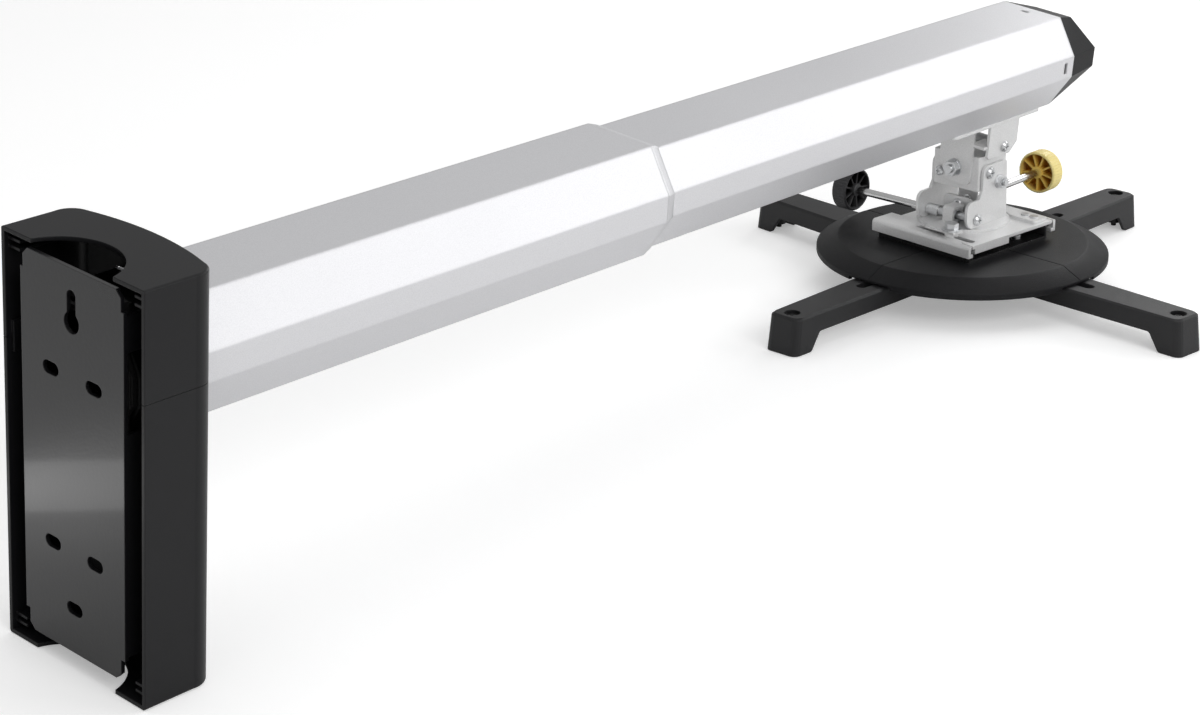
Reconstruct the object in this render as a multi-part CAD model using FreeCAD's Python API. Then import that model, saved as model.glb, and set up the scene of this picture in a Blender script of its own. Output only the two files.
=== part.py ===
import FreeCAD, Part
import math
import os

# Projector wall mount: a wall plate under a two-piece cover carries a telescopic
# aluminium arm, and a micro-adjust head under the arm's end carries a disc with four legs.
# Millimetres. X runs away from the wall, Z up. The origin lies on the wall plane at the
# middle of the four wall slots. The head hangs slightly rolled and swivelled, as it is set.

V = FreeCAD.Vector

# Wall plate
plateWall = 2.5
plateHalf = 41.5
plateTop = 112.3
plateBottom = -111.4
plateNeckHalf = 39.4
plateFlangeTop = 99.0
plateFlangeBottom = -97.0
plateFlangeDepth = 13.0
plateFlangeGap = 23.0
plateCorner = 4.0
slotSpacingY = 35.0
slotSpacingZ = 101.6
slotLength = 13.0
slotRadius = 3.75
lowerSlotDrop = 84.6
keyholeRise = 82.0
keyholeRadius = 6.1
keyholeNeckRadius = 3.6
keyholeNeckRise = 14.6
keyNotchHalf = 9.0
studRadius = 3.0
studLength = 9.5
studY = 32.5
studZUpper = 97.0
studZLower = 14.0

# Cover shells
coverTop = 118.0
coverBottom = -122.0
coverHalf = 57.4
coverBack = 0.4
coverSide = 34.0
coverDepth = 55.5
coverCornerX = 49.0
coverCornerY = 46.5
coverWall = 2.4
coverEdge = 1.6
crescentRadius = 34.0
crescentSet = -8.0
seamGap = 0.3
coverArmGap = 1.0
ribDepth = 9.0
ribWall = 1.6
clipWide = 8.0
clipTall = 9.0

# Arm section, measured over the outer tube
armZ = 55.5
armTopHalf = 26.0
armHalfHigh = 35.5
armHalfWide = 43.0
armFacetHalf = 8.5
outerWall = 2.4
innerWall = 2.2
slideGap = 0.6
outerStart = 9.0
outerEnd = 419.7
collarLength = 7.3
innerLength = 520.0
tubeOverlap = 75.2
innerEnd = outerEnd + innerLength - tubeOverlap
glideThick = 0.5
glideLength = 40.0
guideLength = 30.0
capLength = 24.0
capShrink = 13.0
capPlug = 13.0
fitGap = 0.05
seatGap = 0.3
boltGap = 0.1
collarLip = 0.6
glideHalf = 6.0
glideSet = 2.0
guideRing = 6.0
guideWall = 3.0
capRimWall = 2.4
windowFar = 11.0
windowNear = 7.5
windowTopHalf = 3.0
windowSideHalf = 4.0
clipSink = 0.6
clipRoot = 0.5
lockScrewX = outerEnd - 32.0
lockNeck = 7.0
lockHeadHigh = 8.0
lockHeadRadius = 8.0
lockHeadBevel = 1.0

# Arm socket
socketPlate = 3.5
socketTop = 105.0
socketBottom = 5.0
stubEnd = 45.0
stubWall = 3.0
armBoltX = (22.0, 36.0)
armBoltRadius = 3.0

# Hanger bracket under the arm's end
headX = innerEnd - 61.5
sheet = 2.2
tongueX = headX - 14.0
tongueHalf = 13.8
tongueBottom = -26.0
hangerFront = headX - 55.0
hangerBack = headX + 50.0
hangerHalf = 25.0
hangerCheekIn = 22.0
hangerCheekX0 = headX - 10.0
hangerCheekX1 = headX + 25.0
hangerCheekBottom = -4.0
hangerCorner = 4.0
tongueCorner = 4.5
webBack = headX + 3.0
webZ = 3.8
spacerX = headX + 9.3
spacerZ = 2.6
spacerRadius = 4.0
hangerBoltX = (headX - 37.0, headX + 39.0)
hangerBoltY = 15.0
nutPlateFront = headX - 46.0
nutPlateBack = headX + 47.0
nutPlateHalf = 20.0
nutPlateThick = 4.0

# Fasteners: shank radii, sizes across flats, and (radius, height) of the pan heads
m6 = 3.0
m5 = 2.5
m4 = 2.0
m6Across = 10.0
m6NutHigh = 5.0
m6Washer = 1.2
m6WasherRadius = 6.2
m5Across = 8.0
m5HeadHigh = 3.5
m5NutHigh = 4.0
m5Washer = 1.0
m5WasherRadius = 5.0
panHead = (4.0, 2.6)
rollLockHead = (3.4, 2.4)
rodScrewHead = (3.6, 1.5)
railHead = (4.0, 2.4)
clampHead = (6.5, 3.4)
tipHead = (3.9, 2.2)
drillHalf = 40.0
spacerScrewLength = 16.0
armHeadRadius = 5.2
armHeadHigh = 3.2
rollHeadRadius = 6.0
rollHeadHigh = 3.5
tiltBoltOut = 7.0

# Roll, tilt and swivel axes of the head, and how the head is set
rollZ = -15.0
rollSet = -4.75
tiltX = headX + 9.8
tiltZ = -26.3
swivelSet = -4.9
discSet = 1.78

# Tilt block
faceGap = 0.1
blockFront = tongueX + sheet + faceGap
blockBack = headX + 21.0
blockHalf = 19.8
blockTop = -5.0
blockBottom = -30.5
blockTailX = headX + 3.9
blockTailHalf = 8.0
blockTailBottom = -49.9
rollLockY = 12.5
rollLockZ = -20.0
notchGap = 0.4
rollBoltOut = 8.0

# Yoke
yokeHalf = 22.3
yokeTop = -12.0
yokeBottom = -55.0
yokeX0 = headX - 9.5
yokeX1 = headX + 19.0
yokeFlare = 2.6
yokeStepX = headX - 13.0
yokeStepZ = -35.3
earX = headX - 27.7
earRoundUpper = 5.7
earRoundLower = 8.0
innerTongueX = headX - 8.0
innerTongueHalf = 12.0
innerTongueTop = -38.0
lockX = headX - 1.9
lockZ = -17.4
lockSlotRadius = 2.4
tiltRange = 8.0
rollRange = 8.0

# Adjusting screws and thumbwheels
rodRadius = 2.8
sleeveRadius = 4.0
tiltRodZ = -43.5
tiltWheelX = headX + 92.0
swivelRodX = headX - 15.5
swivelRodZ = -49.5
swivelWheelY = 84.0
wheelRadius = 15.6
wheelWidth = 12.0
wheelRim = 1.7
wheelWeb = 1.5
wheelHub = 4.6
spokeCount = 9
spokeWide = 1.3
spokeSet = 1.6
flutes = 40
fluteDepth = 0.35
tiltNutGap = 1.1
tiltNutAcross = 11.0
tiltNutLength = 5.0
rodShort = 1.0
rodEndGap = 0.4
rodBore = 12.0
rodScrewLength = 10.0
sleeveStart = 9.5
swivelNutGap = 1.5
swivelNutHalf = 5.6
swivelNutBelow = 4.6
swivelNutLength = 8.0

# Swivel disc, slide plate and rail plate
swivelDiscRadius = 33.0
swivelDiscTop = -55.0
plateZ = -57.0
slideHalfX = 48.0
slideNear = -46.0
slideFar = 35.5
channelFar = 44.5
channelWide = 21.0
slideSheet = 2.5
channelHigh = 8.6
channelBend = 2.4
edgeBend = 1.4
lipWide = 2.2
railGap = 0.3
railFlange = 3.0
railSheet = 1.8
railScrewX = 26.0
railScrewY = 28.0
lockSlotX = -36.5
lockSlotY0 = -38.0
lockSlotY1 = 9.0
clipBoltY = -20.0
clipY0 = -9.0
clipStrip = 9.2
clipSheet = 1.9
clipBend = 2.6
latchX0 = 27.0
latchX1 = 42.5
latchNear = -43.5
latchFar = 6.0
latchSheet = 2.0
latchGap = 0.6

# Disc
discTop = -71.0
discFlatRadius = 89.7
discRadius = 105.0
discBevelZ = -78.2
discBottom = -82.8
discWall = 3.0
bossRadius = 9.0
clampRadius = 92.0
scribeWide = 0.8
scribeDeep = 0.5
discRibStart = 20.0
discRibY = 6.0
boreRoof = 1.2

# Legs
legTop = -80.75
legBottom = -107.0
legDeep = 13.5
legWall = 2.6
legBevel = 1.4
legInner = 52.0
legTip = 197.4
legHole = 188.0
legHalfInner = 15.3
legHalfTip = 12.9
legCorner = 5.0
legInnerCorner = 4.0
legSlotStart = 66.0
legSlotEnd = 112.0
legSlotRadius = 4.0
slotRib = 2.2
slotRibDeep = 7.0
clampShoulder = 3.65
clampReach = 6.5
footLength = 14.5
footRamp = 8.6
footFlare = 3.0
footWiden = 0.7
footRound = 3.0
legSwing = (1.83, -1.27, 1.55, -3.83)
legSlide = (0.0, 1.0, 4.0, -6.0)
legDirection = (180.0, 270.0, 0.0, 90.0)
tipRecess = 5.7
tipRecessDeep = 4.2
tipPostTop = 4.4
tipPost = 5.2
tipPostShort = 3.5
tipScrewShort = 0.5
legNotchHalf = 18.0


def box(x0, x1, y0, y1, z0, z1):
    return Part.makeBox(x1 - x0, y1 - y0, z1 - z0, V(x0, y0, z0))


def rodX(x0, x1, y, z, r):
    return Part.makeCylinder(r, x1 - x0, V(x0, y, z), V(1, 0, 0))


def rodY(y0, y1, x, z, r):
    return Part.makeCylinder(r, y1 - y0, V(x, y0, z), V(0, 1, 0))


def rodZ(z0, z1, x, y, r):
    return Part.makeCylinder(r, z1 - z0, V(x, y, z0), V(0, 0, 1))


def prism(points, direction):
    face = Part.Face(Part.makePolygon(points + [points[0]]))
    return face.extrude(direction)


def prismX(yz, x0, x1):
    return prism([V(x0, y, z) for y, z in yz], V(x1 - x0, 0, 0))


def prismY(xz, y0, y1):
    return prism([V(x, y0, z) for x, z in xz], V(0, y1 - y0, 0))


def prismZ(xy, z0, z1):
    return prism([V(x, y, z0) for x, y in xy], V(0, 0, z1 - z0))


def hexPoints(across):
    r = across / math.sqrt(3.0)
    return [(r * math.cos(math.radians(60 * k)), r * math.sin(math.radians(60 * k))) for k in range(6)]


def slotZ(x, y0, y1, r, z0, z1):
    # a round-ended slot that runs along Y
    body = box(x - r, x + r, y0, y1, z0, z1)
    return body.fuse([rodZ(z0, z1, x, y0, r), rodZ(z0, z1, x, y1, r)]).removeSplitter()


def roundEdges(shape, radius, test):
    edges = [e for e in shape.Edges if test(e)]
    return shape.makeFillet(radius, edges)


def vertical(edge):
    a, b = edge.Vertexes[0].Point, edge.Vertexes[-1].Point
    return abs(a.x - b.x) < 1e-6 and abs(a.y - b.y) < 1e-6


def turned(shape, centre, axis, degrees):
    copy = shape.copy()
    copy.rotate(centre, axis, degrees)
    return copy


def save(name, shapes):
    # one file a node: identical pieces that repeat share it as separate solids
    if not isinstance(shapes, list):
        shapes = [shapes]
    solids = []
    for s in shapes:
        solids += s.Solids
    out = solids[0] if len(solids) == 1 else Part.makeCompound(solids)
    out.exportStep("parts/" + name + ".step")


def rolled(shape):
    # the head's set about the roll bolt
    return turned(shape, V(0, 0, rollZ), V(1, 0, 0), rollSet)


def swivelled(shape):
    # the plate and disc's set about the swivel rivet, then the head's roll
    return rolled(turned(shape, V(headX, 0, 0), V(0, 0, 1), swivelSet))


# Arm section: a facetted tube, offset inwards by a wall or a gap

def armSection(inset):
    nx = armHalfHigh - armFacetHalf
    nz = armHalfWide - armTopHalf
    length = math.hypot(nx, nz)
    nx, nz = nx / length, nz / length
    reach = nx * armTopHalf + nz * armHalfHigh - inset
    high = armHalfHigh - inset
    wide = armHalfWide - inset
    top = (reach - nz * high) / nx
    facet = (reach - nx * wide) / nz
    quarter = [(top, high), (wide, facet), (wide, -facet), (top, -high)]
    ring = quarter + [(-y, z) for y, z in reversed(quarter)]
    return [(y, armZ + z) for y, z in ring]


def armSolid(inset, x0, x1):
    return prismX(armSection(inset), x0, x1)


def armWire(inset, x):
    return Part.makePolygon([V(x, y, z) for y, z in armSection(inset) + armSection(inset)[:1]])


def outerTube():
    body = armSolid(0, outerStart, outerEnd)
    body = body.cut(armSolid(outerWall, outerStart - 1, outerEnd + 1))
    for x in armBoltX:
        body = body.cut(rodY(-armHalfWide - 1, armHalfWide + 1, x, armZ, armBoltRadius + boltGap))
    low = armZ - armHalfHigh
    return body.cut(rodZ(low - 1, low + outerWall + 1, lockScrewX, 0, m6 + fitGap))



def endCollar():
    # tapered plastic collar on the outer tube's mouth
    inside = outerWall + slideGap - seatGap
    ends = [armWire(0, outerEnd), armWire(inside - collarLip, outerEnd + collarLength)]
    body = Part.makeLoft(ends, True, True)
    return body.cut(armSolid(inside, outerEnd - 1, outerEnd + collarLength + 1))


def mouthGlides():
    # thin plastic strips on the two flat sides of the outer tube's mouth
    y = armHalfWide - outerWall
    solids = []
    for side in (-1, 1):
        y0, y1 = sorted((side * y, side * (y - glideThick)))
        solids.append(box(outerEnd - glideLength - glideSet, outerEnd - glideSet, y0, y1,
                          armZ - glideHalf, armZ + glideHalf))
    return solids


def lockScrew():
    # thumb screw under the outer tube that clamps the inner one
    low = armZ - armHalfHigh
    shank = rodZ(low - lockNeck, low + outerWall, lockScrewX, 0, m6)
    head = rodZ(low - lockNeck - lockHeadHigh, low - lockNeck, lockScrewX, 0, lockHeadRadius)
    head = head.makeChamfer(lockHeadBevel, [e for e in head.Edges if e.Closed])
    return shank.fuse(head).removeSplitter()


def innerTube():
    start = innerEnd - innerLength
    body = armSolid(outerWall + slideGap, start, innerEnd)
    body = body.cut(armSolid(outerWall + slideGap + innerWall, start - 1, innerEnd + 1))
    low = armZ - armHalfHigh + outerWall + slideGap
    for x in hangerBoltX:
        for y in (-hangerBoltY, hangerBoltY):
            body = body.cut(rodZ(low - 1, low + innerWall + 1, x, y, m5 + boltGap))
    # windows for the end cap's clips: one in the top, one in each side
    side = armHalfWide - outerWall - slideGap
    x0, x1 = innerEnd - windowFar, innerEnd - windowNear
    body = body.cut(box(x0, x1, -windowTopHalf, windowTopHalf, armZ, armZ + armHalfHigh))
    return body.cut(box(x0, x1, -side - 1, side + 1, armZ - windowSideHalf, armZ + windowSideHalf))


def rearGuide():
    # plastic ring that centres the inner tube's rear end in the outer tube
    start = innerEnd - innerLength
    plug = outerWall + slideGap + innerWall
    ring = armSolid(outerWall + seatGap, start - guideRing, start)
    neck = armSolid(plug, start, start + guideLength)
    body = ring.fuse(neck).removeSplitter()
    return body.cut(armSolid(plug + guideWall, start - guideRing - 1, start + guideLength + 1))


def endCap():
    # facetted cap that tapers to a flat nose, with a plug inside the tube
    face = outerWall + slideGap
    ends = [armWire(face, innerEnd), armWire(face + capShrink, innerEnd + capLength)]
    nose = Part.makeLoft(ends, True, True)
    rim = armSolid(face + innerWall, innerEnd - capPlug, innerEnd)
    rim = rim.cut(armSolid(face + innerWall + capRimWall, innerEnd - capPlug - 1, innerEnd))
    side = armHalfWide - face
    x0, x1 = innerEnd - windowFar + seatGap, innerEnd - windowNear - seatGap
    wide, high = windowTopHalf - seatGap, windowSideHalf - seatGap
    clips = []
    for s in (-1, 1):
        y0, y1 = sorted((s * (side - innerWall - clipRoot), s * (side - clipSink)))
        clips.append(box(x0, x1, y0, y1, armZ - high, armZ + high))
    top = armZ + armHalfHigh - face
    clips.append(box(x0, x1, -wide, wide, top - innerWall - clipRoot, top - clipSink))
    return nose.fuse([rim] + clips).removeSplitter()


# Wall plate and cover

def plateOutline():
    c = plateCorner
    n = plateNeckHalf
    h = plateHalf
    half = [(n - c, plateTop), (n, plateTop - c), (n, plateFlangeTop + 2), (h, plateFlangeTop + 2),
            (h, plateFlangeBottom - 2), (n - 1, plateFlangeBottom - 2), (n - 1, plateBottom + c),
            (n - 1 - c, plateBottom)]
    return half + [(-y, z) for y, z in reversed(half)]


def wallPlate():
    body = prismX(plateOutline(), 0, plateWall)
    flanges = []
    for s in (-1, 1):
        y0, y1 = sorted((s * plateHalf, s * (plateHalf - plateWall)))
        flanges.append(box(0, plateFlangeDepth, y0, y1, plateFlangeBottom, plateFlangeTop))
    studs = []
    for y in (-studY, studY):
        for z in (studZLower, studZUpper):
            studs.append(rodX(0, plateWall + studLength, y, z, studRadius))
    body = body.fuse(flanges + studs).removeSplitter()
    reach = slotLength / 2 - slotRadius
    places = [(y, z) for y in (-slotSpacingY / 2, slotSpacingY / 2)
              for z in (-slotSpacingZ / 2, slotSpacingZ / 2)] + [(0, -lowerSlotDrop)]
    for y, z in places:
        hole = box(-1, plateWall + 1, y - reach, y + reach, z - slotRadius, z + slotRadius)
        ends = [rodX(-1, plateWall + 1, y + s * reach, z, slotRadius) for s in (-1, 1)]
        body = body.cut(hole.fuse(ends))
    neckTop = keyholeRise + keyholeNeckRise
    key = rodX(-1, plateWall + 1, 0, keyholeRise, keyholeRadius)
    key = key.fuse(rodX(-1, plateWall + 1, 0, neckTop, keyholeNeckRadius))
    key = key.fuse(box(-1, plateWall + 1, -keyholeNeckRadius, keyholeNeckRadius, keyholeRise, neckTop))
    body = body.cut(key)
    # the side flanges are left open where the arm's root passes between them
    relief = box(plateWall, plateFlangeDepth + 1, -50, 50, armZ - plateFlangeGap, armZ + plateFlangeGap)
    return body.cut(relief)


def armSocket():
    # flange ring on the plate's studs, with a stub that fills the outer tube's end
    x0 = plateWall
    x1 = plateWall + socketPlate
    inside = outerWall
    ring = box(x0, x1, -plateHalf + plateWall + 0.3, plateHalf - plateWall - 0.3, socketBottom, socketTop)
    stub = armSolid(inside, x1, stubEnd)
    body = ring.fuse(stub).removeSplitter()
    body = body.cut(armSolid(inside + stubWall, x0 - 1, stubEnd + 1))
    for y in (-studY, studY):
        for z in (studZLower, studZUpper):
            body = body.cut(rodX(x0 - 1, x1 + 1, y, z, studRadius + fitGap))
    for x in armBoltX:
        body = body.cut(rodY(-armHalfWide - 1, armHalfWide + 1, x, armZ, armBoltRadius + fitGap))
    # notch that leaves the keyhole free for the hanging screw's head
    return body.cut(box(x0 - 1, x1, -keyNotchHalf, keyNotchHalf, keyholeRise - keyNotchHalf, socketTop + 1))


def socketNuts():
    x0 = plateWall + socketPlate
    nuts = []
    for y in (-studY, studY):
        for z in (studZLower, studZUpper):
            nut = prismX([(y + a, z + b) for a, b in hexPoints(m6Across)], x0, x0 + m6NutHigh)
            nuts.append(nut.cut(rodX(x0 - 1, x0 + m6NutHigh + 1, y, z, studRadius + fitGap)))
    return nuts


def armBolts():
    bolts = []
    for x in armBoltX:
        for s in (-1, 1):
            a, b = sorted((s * (armHalfWide - outerWall - stubWall), s * armHalfWide))
            shank = rodY(a, b, x, armZ, armBoltRadius)
            c, d = sorted((s * armHalfWide, s * (armHalfWide + armHeadHigh)))
            bolts.append(shank.fuse(rodY(c, d, x, armZ, armHeadRadius)).removeSplitter())
    return bolts


def coverFace(z, inset):
    # D section with a bowed front: straight sides, rounded corners, shallow front arc
    h = coverHalf - inset
    c = coverCornerX - inset * 0.8
    k = coverCornerY - inset * 0.6
    front = coverDepth - inset
    back = coverBack
    bendX = coverSide + (c - coverSide) * 0.72
    bendY = k + (h - k) * 0.72
    edges = [
        Part.makeLine(V(back, h, z), V(coverSide, h, z)),
        Part.Arc(V(coverSide, h, z), V(bendX, bendY, z), V(c, k, z)).toShape(),
        Part.Arc(V(c, k, z), V(front, 0, z), V(c, -k, z)).toShape(),
        Part.Arc(V(c, -k, z), V(bendX, -bendY, z), V(coverSide, -h, z)).toShape(),
        Part.makeLine(V(coverSide, -h, z), V(back, -h, z)),
        Part.makeLine(V(back, -h, z), V(back, h, z)),
    ]
    return Part.Face(Part.Wire(edges))


def coverSolid(z0, z1, inset):
    return coverFace(z0, inset).extrude(V(0, 0, z1 - z0))


def coverShell(z0, z1, endZ):
    # endZ is the level of the closed end panel, either z0 or z1
    body = coverSolid(z0, z1, 0)
    rim = [e for e in body.Edges
           if all(abs(v.Point.z - endZ) < 1e-6 for v in e.Vertexes)
           and not all(abs(v.Point.x - coverBack) < 1e-6 for v in e.Vertexes)]
    body = body.makeFillet(coverEdge, rim)
    low = z0 + coverWall if endZ == z0 else z0 - 1
    high = z1 - coverWall if endZ == z1 else z1 + 1
    hollow = coverSolid(low, high, coverWall)
    inside = coverHalf - coverWall
    hollow = hollow.fuse(box(coverBack - 2, coverBack + 1, -inside, inside, low, high))
    body = body.cut(hollow)
    crescent = rodZ(endZ - coverWall - 2, endZ + coverWall + 2, crescentSet, 0, crescentRadius)
    body = body.cut(crescent)
    body = body.cut(armSolid(-coverArmGap, stubEnd * 0.3, coverDepth + 5))
    # stiffening ribs across the corners, level with the end panel
    inward = -1 if endZ == z1 else 1
    ribs = []
    for k in (1, 2):
        z = endZ + inward * (coverWall + 4.5 * k)
        for s in (-1, 1):
            y0, y1 = sorted((s * (coverHalf - coverWall - ribDepth), s * (coverHalf - coverWall + 0.6)))
            ribs.append(box(coverBack + 3, coverSide - 6, y0, y1, z - ribWall / 2, z + ribWall / 2))
    return body.fuse(ribs).removeSplitter()


def coverUpper():
    body = coverShell(armZ + seamGap / 2, coverTop, coverTop)
    # clip tongues that reach down inside the lower shell
    tongues = []
    for s in (-1, 1):
        y0, y1 = sorted((s * (coverHalf - coverWall - 0.3), s * (coverHalf - coverWall - 1.8)))
        tongues.append(box(4, 4 + clipWide, y0, y1, armZ - clipTall, armZ + clipTall))
        a, b = sorted((s * (coverHalf - coverWall - 1.0), s * (coverHalf - coverWall + 0.5)))
        tongues.append(box(4, 4 + clipWide, a, b, armZ + 2, armZ + clipTall))
    return body.fuse(tongues).removeSplitter()


def coverLower():
    return coverShell(coverBottom, armZ - seamGap / 2, coverBottom)


# Hanger bracket and its fasteners

hangerTop = armZ - armHalfHigh + outerWall + slideGap


def hangerBracket():
    top = box(hangerFront, hangerBack, -hangerHalf, hangerHalf, hangerTop - sheet, hangerTop)
    top = roundEdges(top, hangerCorner, vertical)
    tongue = box(tongueX, tongueX + sheet, -tongueHalf, tongueHalf, tongueBottom, hangerTop - 0.5)
    tongue = roundEdges(tongue, tongueCorner, lambda e: abs(e.CenterOfMass.z - tongueBottom) < 0.01
                        and abs(abs(e.CenterOfMass.y) - tongueHalf) < 0.01)
    tongue = tongue.cut(rollNotch())
    pieces = [tongue]
    for s in (-1, 1):
        y0, y1 = sorted((s * hangerCheekIn, s * (hangerCheekIn + sheet)))
        cheek = prismY([(hangerCheekX0, hangerTop), (hangerCheekX0, hangerCheekBottom + 2),
                        (hangerCheekX0 + 2, hangerCheekBottom), (hangerCheekX1 - 8, hangerCheekBottom),
                        (hangerCheekX1, hangerCheekBottom + 7), (hangerCheekX1, hangerTop)], y0, y1)
        pieces.append(cheek)
    # level web that ties the tongue to the near cheek
    pieces.append(box(tongueX, webBack, -hangerCheekIn - sheet / 2, -tongueHalf + sheet, webZ, webZ + sheet))
    body = top.fuse(pieces).removeSplitter()
    body = body.cut(rodX(tongueX - 1, tongueX + sheet + 1, 0, rollZ, m6 + fitGap))
    body = body.cut(rodY(-hangerHalf, hangerHalf, spacerX, spacerZ, m4 + fitGap))
    for x in hangerBoltX:
        for y in (-hangerBoltY, hangerBoltY):
            body = body.cut(rodZ(hangerTop - sheet - 1, hangerTop + 1, x, y, m5 + fitGap))
    return body


def rollNotch():
    # notch in the tongue's edge, open outwards, in which the roll lock screw swings
    reach = math.hypot(rollLockY, rollLockZ - rollZ)
    start = math.degrees(math.atan2(rollLockZ - rollZ, rollLockY))
    r = m4 + notchGap
    x0, x1 = tongueX - 1, tongueX + sheet + 1
    pieces = []
    for k in range(5):
        a = math.radians(start + rollRange * (k - 2) / 2)
        y, z = reach * math.cos(a), rollZ + reach * math.sin(a)
        pieces.append(rodX(x0, x1, y, z, r))
        pieces.append(box(x0, x1, y, tongueHalf + 1, z - r, z + r))
    return pieces[0].fuse(pieces[1:])


def nutPlate():
    z0 = hangerTop + innerWall
    body = box(nutPlateFront, nutPlateBack, -nutPlateHalf, nutPlateHalf, z0, z0 + nutPlateThick)
    for x in hangerBoltX:
        for y in (-hangerBoltY, hangerBoltY):
            body = body.cut(rodZ(z0 - 1, z0 + nutPlateThick + 1, x, y, m5 + fitGap))
    return body


def hangerBolts():
    bolts = []
    for x in hangerBoltX:
        for y in (-hangerBoltY, hangerBoltY):
            shank = rodZ(hangerTop - sheet, hangerTop + innerWall + nutPlateThick, x, y, m5)
            hexagon = [(x + a, y + b) for a, b in hexPoints(m5Across)]
            head = prismZ(hexagon, hangerTop - sheet - m5HeadHigh, hangerTop - sheet)
            bolts.append(shank.fuse(head).removeSplitter())
    return bolts


def hangerSpacer():
    return rodY(-hangerCheekIn, hangerCheekIn, spacerX, spacerZ, spacerRadius).cut(
        rodY(-drillHalf, drillHalf, spacerX, spacerZ, m4 + fitGap))


def panScrew(tipLength, head, shankRadius, at, direction):
    # pan head on the seat at "at", shank along the direction
    headRadius, headHigh = head
    shank = Part.makeCylinder(shankRadius, tipLength, at, direction)
    crown = Part.makeCylinder(headRadius, headHigh, at - direction * headHigh, direction)
    crown = crown.makeChamfer(headHigh * 0.45, [e for e in crown.Edges if e.Closed
                              and abs((e.CenterOfMass - at).Length - headHigh) < 1e-3])
    body = shank.fuse(crown).removeSplitter()
    side = direction.cross(V(0, 0, 1))
    if side.Length < 0.5:
        side = V(1, 0, 0)
    up = direction.cross(side)
    base = at - direction * (headHigh + 0.5)
    for a, b in ((side, up), (up, side)):
        arm = headRadius * 0.55
        half = headRadius * 0.1
        corner = [base + a * p + b * q for p, q in ((-arm, -half), (arm, -half), (arm, half), (-arm, half))]
        body = body.cut(prism(corner, direction * (0.5 + headHigh * 0.5)))
    return body


def spacerScrews():
    y = hangerCheekIn + sheet
    return [panScrew(spacerScrewLength, panHead, m4, V(spacerX, s * y, spacerZ), V(0, -s, 0)) for s in (-1, 1)]


def rollBolt():
    # square-necked bolt from inside the block, out through the tongue
    shank = rodX(tongueX - rollBoltOut, blockFront + sheet, 0, rollZ, m6)
    head = rodX(blockFront + sheet, blockFront + sheet + rollHeadHigh, 0, rollZ, rollHeadRadius)
    return shank.fuse(head).removeSplitter()


def rollNut():
    x1 = tongueX
    washer = rodX(x1 - m6Washer, x1, 0, rollZ, m6WasherRadius)
    hexagon = [(a, rollZ + b) for a, b in hexPoints(m6Across)]
    nut = prismX(hexagon, x1 - m6Washer - m6NutHigh, x1 - m6Washer)
    return washer.fuse(nut).removeSplitter().cut(rodX(x1 - 8, x1 + 1, 0, rollZ, m6 + fitGap))


# Tilt block

def tiltBlock():
    t = sheet
    front = box(blockFront, blockFront + t, -blockHalf, blockHalf, blockBottom, blockTop)
    pieces = []
    for s in (-1, 1):
        y0, y1 = sorted((s * blockHalf, s * (blockHalf - t)))
        pieces.append(box(blockFront, blockBack, y0, y1, blockBottom, blockTop))
    pieces.append(box(blockFront, blockBack, -blockHalf, blockHalf, blockTop - t, blockTop))
    # tail behind the yoke's tongue that takes the tilt nut
    tail = [(-blockTailHalf, blockTailBottom + 3), (-blockTailHalf + 3, blockTailBottom),
            (blockTailHalf - 3, blockTailBottom), (blockTailHalf, blockTailBottom + 3),
            (blockTailHalf, blockTop), (-blockTailHalf, blockTop)]
    pieces.append(prismX(tail, blockTailX, blockTailX + t))
    body = front.fuse(pieces).removeSplitter()
    body = roundEdges(body, 1.6, lambda e: vertical(e) and abs(e.CenterOfMass.x - blockFront) < 0.01)
    body = body.cut(rodX(blockFront - 1, blockFront + t + 1, 0, rollZ, m6 + fitGap))
    body = body.cut(rodX(blockFront - 1, blockFront + t + 1, rollLockY, rollLockZ, m4 + fitGap))
    body = body.cut(rodY(-drillHalf, drillHalf, tiltX, tiltZ, m5 + fitGap))
    body = body.cut(rodY(-drillHalf, drillHalf, lockX, lockZ, m4 + fitGap))
    return body.cut(rodX(blockTailX - 1, blockTailX + t + 1, 0, tiltRodZ, rodRadius + tiltNutGap))


def tiltNut():
    # flanged nut on the tail: the open end of the screw linkage, bored clear of the rod
    x0 = blockTailX + sheet
    nut = prismX([(a, tiltRodZ + b) for a, b in hexPoints(tiltNutAcross)], x0, x0 + tiltNutLength)
    return nut.cut(rodX(x0 - 1, x0 + tiltNutLength + 1, 0, tiltRodZ, rodRadius + tiltNutGap))


def rollLockScrew():
    return panScrew(2 * sheet + 3, rollLockHead, m4, V(tongueX, rollLockY, rollLockZ), V(1, 0, 0))


# Yoke with its ears, tongue and swivel disc

def yokeCheek(y0, y1):
    cheek = prismY([(yokeX0, yokeTop), (yokeX1, yokeTop), (yokeX1 + yokeFlare, yokeBottom),
                    (earX, yokeBottom), (earX, yokeStepZ), (yokeStepX, yokeStepZ),
                    (yokeX0, yokeStepZ + 6)], y0, y1)

    def across(x, z):
        return lambda e: abs(e.CenterOfMass.x - x) < 0.01 and abs(e.CenterOfMass.z - z) < 0.01

    cheek = roundEdges(cheek, 5.0, across(yokeX0, yokeTop))
    cheek = roundEdges(cheek, 2.5, across(yokeX1, yokeTop))
    cheek = roundEdges(cheek, earRoundUpper, across(earX, yokeStepZ))
    return roundEdges(cheek, earRoundLower, across(earX, yokeBottom))


def lockArc(y0, y1):
    # the slot in which the tilt lock screw travels, about the tilt bolt
    reach = math.hypot(lockX - tiltX, lockZ - tiltZ)
    start = math.degrees(math.atan2(lockZ - tiltZ, lockX - tiltX))
    steps = 6
    pieces = []
    for k in range(steps + 1):
        a = math.radians(start - tiltRange + 2 * tiltRange * k / steps)
        pieces.append(rodY(y0, y1, tiltX + reach * math.cos(a), tiltZ + reach * math.sin(a), lockSlotRadius))
    return pieces[0].fuse(pieces[1:])


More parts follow.
